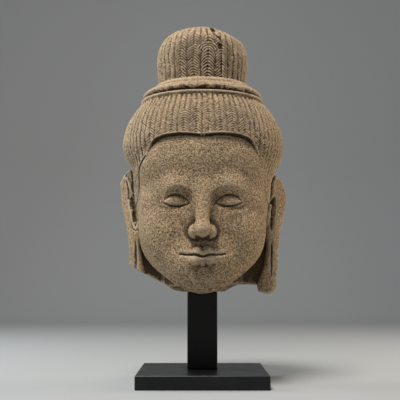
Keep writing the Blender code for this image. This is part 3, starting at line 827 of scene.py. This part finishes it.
def mix(tree, share, first, second, blend="MIX"):
    """Two colours mixed, through the node's sockets for colours: 0 for the share, 6 and 7, out at 2."""
    made = node(tree, "ShaderNodeMix", data_type="RGBA", blend_type=blend)
    for socket, value in ((0, share), (6, first), (7, second)):
        if isinstance(value, bpy.types.NodeSocket):
            tree.links.new(value, made.inputs[socket])
        elif socket == 0:
            made.inputs[0].default_value = value
        else:
            made.inputs[socket].default_value = (*value, 1.0)
    return made.outputs[2]


def math_node(tree, operation, first, second):
    made = node(tree, "ShaderNodeMath", operation=operation)
    for socket, value in zip(made.inputs, (first, second)):
        if isinstance(value, bpy.types.NodeSocket):
            tree.links.new(value, socket)
        else:
            socket.default_value = value
    return made.outputs[0]


def new_material(name):
    made = bpy.data.materials.new(name)
    made.use_nodes = True
    tree = made.node_tree
    place = node(tree, "ShaderNodeTexCoord").outputs["Object"]
    return made, tree, place, tree.nodes["Principled BSDF"]


def sandstone():
    """Grainy brown stone, dark with dirt and painted shade in its hollows, and pale on its worn edges and
    painted highlights.
    """
    made, tree, place, shader = new_material("sandstone")
    # The points' dirt with painted shade and painted highlights
    dirt_and_painted_shade = node(tree, "ShaderNodeAttribute", attribute_name="dirt_and_painted_shade").outputs["Fac"]
    broad = noise_texture(tree, place, 14.0, 3.0)
    blotch = noise_texture(tree, place, 90.0, 4.0)
    speckle = noise_texture(tree, place, 600.0, 2.0, 0.6)
    grain = noise_texture(tree, place, 900.0, 2.0, 0.7)
    browns = ((0.30, (0.335, 0.240, 0.146)), (0.55, (0.395, 0.292, 0.184)), (0.75, (0.440, 0.328, 0.210)))
    tones = ((0.35, (0.42, 0.40, 0.37)), (0.65, (0.60, 0.57, 0.53)))
    greys = ((0.38, (0.20, 0.18, 0.16)), (0.5, (0.5, 0.5, 0.5)), (0.62, (0.80, 0.79, 0.76)))
    base = ramp(tree, broad, browns)
    base = mix(tree, 0.35, base, ramp(tree, blotch, tones), "OVERLAY")
    base = mix(tree, 0.85, base, ramp(tree, speckle, greys), "OVERLAY")
    base = mix(tree, 0.5, base, ramp(tree, grain, greys), "OVERLAY")
    # The dark brown of dirt and painted shade, and the pale of worn edges and painted highlights
    dirt_and_shade_brown, worn = (0.075, 0.048, 0.027), (0.62, 0.51, 0.38)
    dark = ramp(tree, dirt_and_painted_shade, ((0.49, (0, 0, 0)), (0.82, (0.92, 0.92, 0.92))))
    pale = ramp(tree, dirt_and_painted_shade, ((0.0, (0.8, 0.8, 0.8)), (0.18, (0.4, 0.4, 0.4)), (0.42, (0, 0, 0))))
    base = mix(tree, pale, mix(tree, dark, base, dirt_and_shade_brown), worn)
    tree.links.new(base, shader.inputs["Base Color"])
    shader.inputs["Roughness"].default_value = 0.92
    shader.inputs["Specular IOR Level"].default_value = 0.25
    height = math_node(tree, "ADD", grain, math_node(tree, "MULTIPLY", speckle, 2.0))
    bumped = node(tree, "ShaderNodeBump", {"Height": height, "Strength": 0.9, "Distance": 0.0011})
    tree.links.new(bumped.outputs["Normal"], shader.inputs["Normal"])
    return made


POST_BLACKS = ((0.002, 0.0016, 0.0013), (0.008, 0.0062, 0.005))
BASE_BLACKS = ((0.002, 0.0022, 0.003), (0.010, 0.0105, 0.013))


def blackened_steel(name, colours, streaks, roughness):
    """Blackened steel, with streaks along the axis whose scale is the smallest."""
    made, tree, place, shader = new_material(name)
    stretched = node(tree, "ShaderNodeMapping", {"Vector": place, "Scale": streaks}).outputs["Vector"]
    streak = noise_texture(tree, stretched, 60.0, 5.0)
    cloud = noise_texture(tree, place, 35.0, 4.0)
    streaked = math_node(tree, "MULTIPLY", streak, 0.6)
    shade = math_node(tree, "ADD", streaked, math_node(tree, "MULTIPLY", cloud, 0.4))
    tree.links.new(ramp(tree, shade, ((0.35, colours[0]), (0.65, colours[1]))), shader.inputs["Base Color"])
    low, high = roughness
    tree.links.new(ramp(tree, streak, ((0.3, (low,) * 3), (0.7, (high,) * 3))), shader.inputs["Roughness"])
    shader.inputs["Specular IOR Level"].default_value = 0.3
    height = noise_texture(tree, place, 900.0, 3.0)
    bumped = node(tree, "ShaderNodeBump", {"Height": height, "Strength": 0.12, "Distance": 0.0003})
    tree.links.new(bumped.outputs["Normal"], shader.inputs["Normal"])
    return made


def plain_material(name, colour, roughness):
    made = bpy.data.materials.new(name)
    made.use_nodes = True
    shader = made.node_tree.nodes["Principled BSDF"]
    shader.inputs["Base Color"].default_value = (*colour, 1.0)
    shader.inputs["Roughness"].default_value = roughness
    return made


def dress(obj, finish):
    obj.data.materials.clear()
    obj.data.materials.append(finish)


# The studio
def backdrop():
    """A pale floor that curves up into a wall behind."""
    bend, depth, top, half = 0.6, 1.5, 2.6, 3.0
    profile = [(-2.0, 0.0), (depth, 0.0)]
    for degrees in range(5, 91, 5):
        angle = math.radians(degrees)
        profile.append((depth + bend * math.sin(angle), bend * (1 - math.cos(angle))))
    profile.append((depth + bend, top))
    vertices = [(x, y, z) for y, z in profile for x in (-half, half)]
    faces = [(2 * i, 2 * i + 1, 2 * i + 3, 2 * i + 2) for i in range(len(profile) - 1)]
    mesh = bpy.data.meshes.new("floor")
    mesh.from_pydata(vertices, [], faces)
    mesh.shade_smooth()
    floor = bpy.data.objects.new("floor", mesh)
    bpy.context.scene.collection.objects.link(floor)
    dress(floor, plain_material("floor", (0.37, 0.38, 0.38), 0.9))


def area_light(name, place, target, size, energy, colour):
    light = bpy.data.lights.new(name, "AREA")
    light.size = size
    light.energy = energy
    light.color = colour
    obj = bpy.data.objects.new(name, light)
    obj.location = place
    obj.rotation_euler = (Vector(target) - Vector(place)).to_track_quat("-Z", "Y").to_euler()
    bpy.context.scene.collection.objects.link(obj)


def studio():
    backdrop()
    middle = (0, 0, 0.25)
    area_light("key", (-0.32, -0.72, 1.82), middle, 0.55, 38, (1.0, 0.97, 0.93))
    area_light("left edge", (-1.1, 0.35, 0.55), middle, 0.5, 9, (0.85, 0.93, 1.0))
    area_light("right edge", (1.1, 0.35, 0.45), middle, 0.6, 8, (1.0, 0.86, 0.68))
    world = bpy.data.worlds.new("soft light")
    world.use_nodes = True
    background = world.node_tree.nodes["Background"]
    background.inputs["Color"].default_value = (0.85, 0.92, 1.0, 1.0)
    background.inputs["Strength"].default_value = 0.18
    bpy.context.scene.world = world
    bpy.context.scene.view_settings.view_transform = "Standard"


def photo_camera():
    """The photograph's angle: about a metre away, below the chin, looking a little up."""
    data = bpy.data.cameras.new("camera")
    data.lens = 73.44
    data.sensor_width = 36.0
    camera = bpy.data.objects.new("camera", data)
    camera.location = (-0.0028, -0.989, 0.1162)
    camera.rotation_euler = (math.radians(95.91), 0, 0)
    bpy.context.scene.collection.objects.link(camera)
    bpy.context.scene.camera = camera


head = carved_head(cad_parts["stone_head"])
dress(head, sandstone())
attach(head, "root")
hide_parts("stone_head")
dress(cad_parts["stand_post"], blackened_steel("post steel", POST_BLACKS, (6, 6, 0.6), (0.40, 0.60)))
dress(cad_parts["stand_base"], blackened_steel("base steel", BASE_BLACKS, (0.6, 6, 6), (0.25, 0.45)))
studio()
photo_camera()
